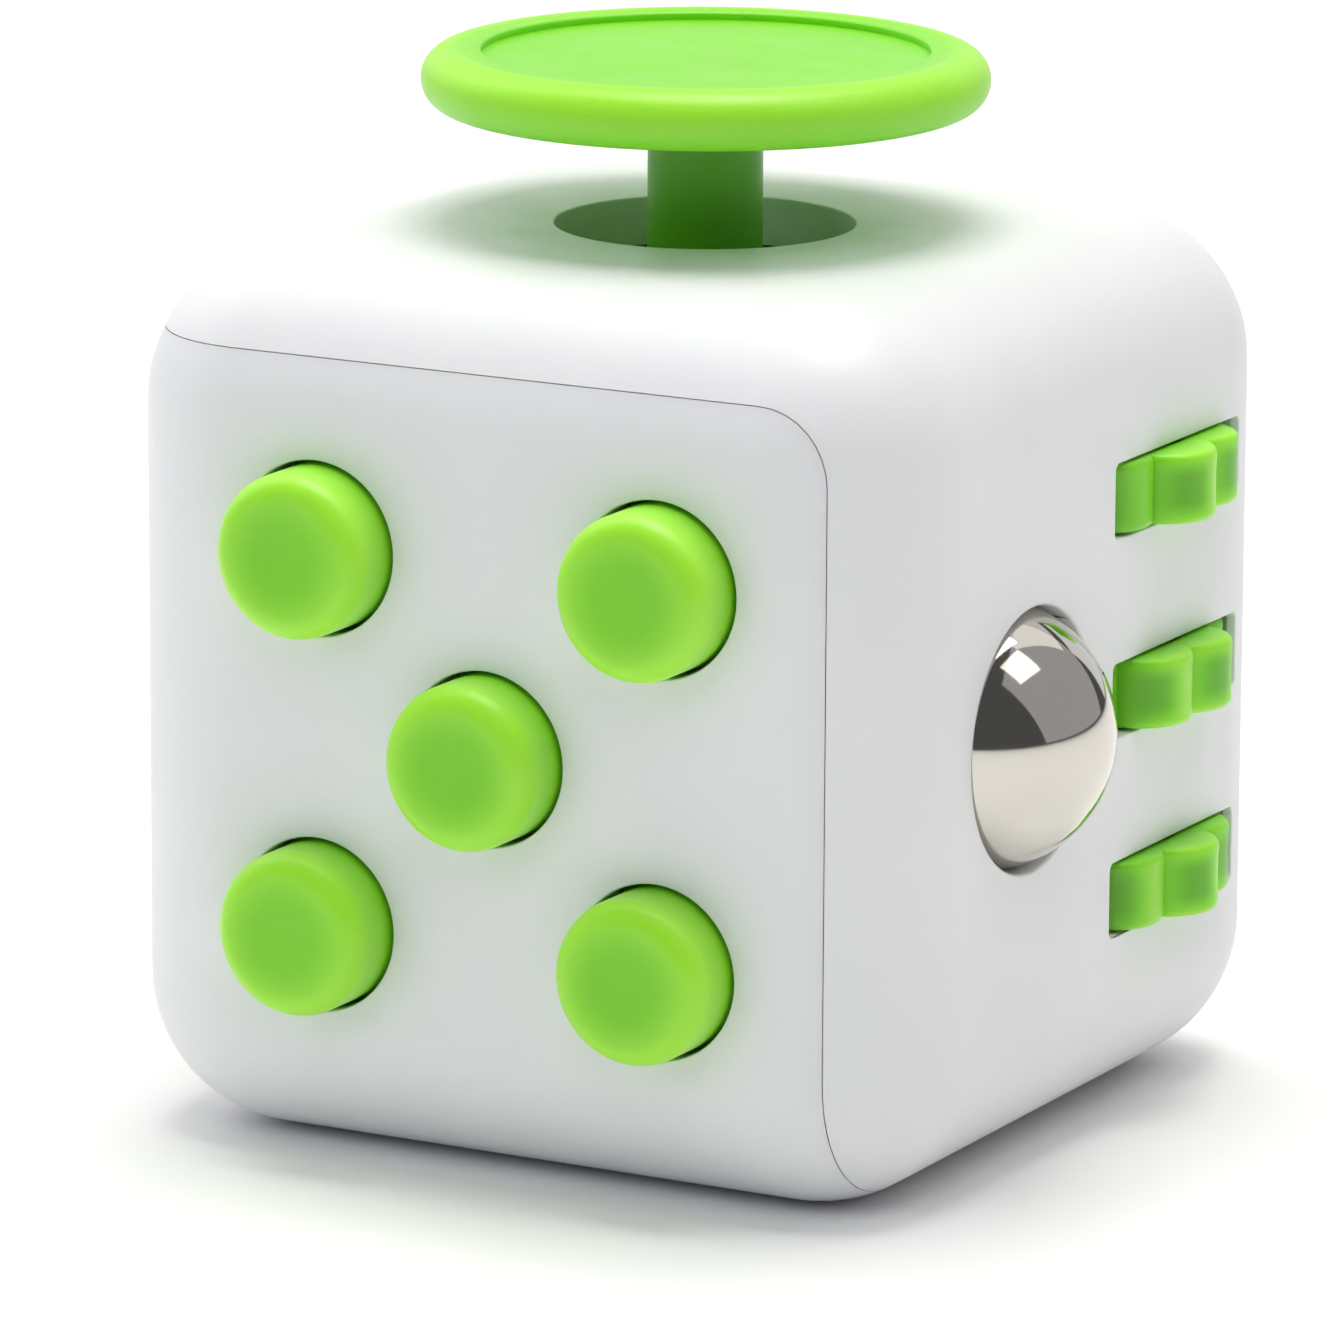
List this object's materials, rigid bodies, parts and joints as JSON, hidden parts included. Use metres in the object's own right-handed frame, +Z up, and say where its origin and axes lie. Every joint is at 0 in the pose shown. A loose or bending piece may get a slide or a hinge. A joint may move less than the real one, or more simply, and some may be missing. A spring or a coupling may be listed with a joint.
{
  "type": "fidget cube",
  "caption": "Palm-sized cube with push buttons, joystick, roller gears, press ball, dial, rocker and thumb dish on its faces.",
  "frame": {"origin": "centre of the base, on the plane the cube stands on", "axes": "+Z up through the joystick; -Y out of the button face; +X out of the gear and ball face"},
  "size_m": [0.0386, 0.0376, 0.0395],
  "materials": {
    "white_abs": "fine satin, white",
    "green_abs": "satin, lime green, slightly translucent",
    "board": "dull green laminate",
    "spring_steel": "bright drawn",
    "silicone": "matte",
    "screw_steel": "zinc plated",
    "pin_steel": "ground",
    "polished_steel": "mirror polished",
    "acetal": "waxy natural acetal",
    "grey_abs": "satin grey"
  },
  "bodies": {
    "cube": {"front_shell": "white_abs", "rear_shell": "white_abs", "button_board": "board", "click_dome_upper_left": "spring_steel", "click_dome_centre": "spring_steel", "click_dome_lower_right": "spring_steel", "soft_dome_upper_right": "silicone", "soft_dome_lower_left": "silicone", "board_screws": "screw_steel", "joystick_bracket": "grey_abs", "bracket_screws": "screw_steel", "centring_spring": "spring_steel", "spring_seat": "acetal", "seat_screws": "screw_steel", "gear_axle": "pin_steel", "spacer_top": "acetal", "spacer_upper": "acetal", "spacer_lower": "acetal", "spacer_bottom": "acetal", "ball_dome": "spring_steel", "ball_bracket": "grey_abs", "ball_screws": "screw_steel", "dial_plate": "grey_abs", "dial_detent": "spring_steel", "dial_screws": "screw_steel", "rocker_pin": "pin_steel", "rocker_frame": "grey_abs", "rocker_screws": "screw_steel"},
    "gimbal": {"gimbal_ring": "acetal", "ring_pins": "pin_steel", "stick_pin": "pin_steel"},
    "joystick": {"joystick": "green_abs", "centring_foot": "acetal", "foot_screw": "screw_steel"},
    "gear_upper": {"gear_upper": "green_abs"},
    "gear_middle": {"gear_middle": "green_abs"},
    "gear_lower": {"gear_lower": "green_abs"},
    "ball_cradle": {"ball_cradle": "acetal"},
    "ball": {"steel_ball": "polished_steel"},
    "dial": {"dial": "green_abs", "dial_clip": "spring_steel"},
    "rocker": {"rocker": "green_abs", "rocker_plunger": "pin_steel", "rocker_spring": "spring_steel"},
    "button_upper_left": {"button_upper_left": "green_abs"},
    "button_upper_right": {"button_upper_right": "green_abs"},
    "button_centre": {"button_centre": "green_abs"},
    "button_lower_left": {"button_lower_left": "green_abs"},
    "button_lower_right": {"button_lower_right": "green_abs"}
  },
  "joints": [
    {"name": "press_upper_left", "type": "slide", "parent": "cube", "child": "button_upper_left", "axis": [0, 1, 0], "range_m": [0, 0.001], "stiffness_N_per_m": 1800, "deforming": ["click_dome_upper_left"]},
    {"name": "press_upper_right", "type": "slide", "parent": "cube", "child": "button_upper_right", "axis": [0, 1, 0], "range_m": [0, 0.001], "stiffness_N_per_m": 900, "deforming": ["soft_dome_upper_right"]},
    {"name": "press_centre", "type": "slide", "parent": "cube", "child": "button_centre", "axis": [0, 1, 0], "range_m": [0, 0.001], "stiffness_N_per_m": 1800, "deforming": ["click_dome_centre"]},
    {"name": "press_lower_left", "type": "slide", "parent": "cube", "child": "button_lower_left", "axis": [0, 1, 0], "range_m": [0, 0.001], "stiffness_N_per_m": 900, "deforming": ["soft_dome_lower_left"]},
    {"name": "press_lower_right", "type": "slide", "parent": "cube", "child": "button_lower_right", "axis": [0, 1, 0], "range_m": [0, 0.001], "stiffness_N_per_m": 1800, "deforming": ["click_dome_lower_right"]},
    {"name": "stick_front_back", "type": "hinge", "parent": "cube", "child": "gimbal", "pos_m": [0, 0, 0.0276], "axis": [1, 0, 0], "range_deg": [-13, 13], "stiffness_Nm_per_rad": 0.02, "deforming": ["centring_spring"]},
    {"name": "stick_left_right", "type": "hinge", "parent": "gimbal", "child": "joystick", "pos_m": [0, 0, 0.0276], "axis": [0, 1, 0], "range_deg": [-13, 13], "stiffness_Nm_per_rad": 0.02, "deforming": ["centring_spring"]},
    {"name": "gear_upper_spin", "type": "hinge", "parent": "cube", "child": "gear_upper", "pos_m": [0.0114, 0.00619, 0.02398], "axis": [0, 0, 1], "continuous": true},
    {"name": "gear_middle_spin", "type": "hinge", "parent": "cube", "child": "gear_middle", "pos_m": [0.0114, 0.00619, 0.0165], "axis": [0, 0, 1], "continuous": true},
    {"name": "gear_lower_spin", "type": "hinge", "parent": "cube", "child": "gear_lower", "pos_m": [0.0114, 0.00619, 0.00902], "axis": [0, 0, 1], "continuous": true},
    {"name": "ball_press", "type": "slide", "parent": "cube", "child": "ball_cradle", "axis": [-1, 0, 0], "range_m": [0, 0.0006], "stiffness_N_per_m": 3000, "deforming": ["ball_dome"]},
    {"name": "ball_roll", "type": "hinge", "parent": "ball_cradle", "child": "ball", "pos_m": [0.0143, -0.00559, 0.0165], "axis": [0, 0, 1], "continuous": true},
    {"name": "dial_spin", "type": "hinge", "parent": "cube", "child": "dial", "pos_m": [-0.0134, 0, 0.0165], "axis": [1, 0, 0], "continuous": true, "deforming": ["dial_detent"]},
    {"name": "rocker_flip", "type": "hinge", "parent": "cube", "child": "rocker", "pos_m": [0, 0.013, 0.0165], "axis": [1, 0, 0], "range_deg": [-20, 0]}
  ]
}
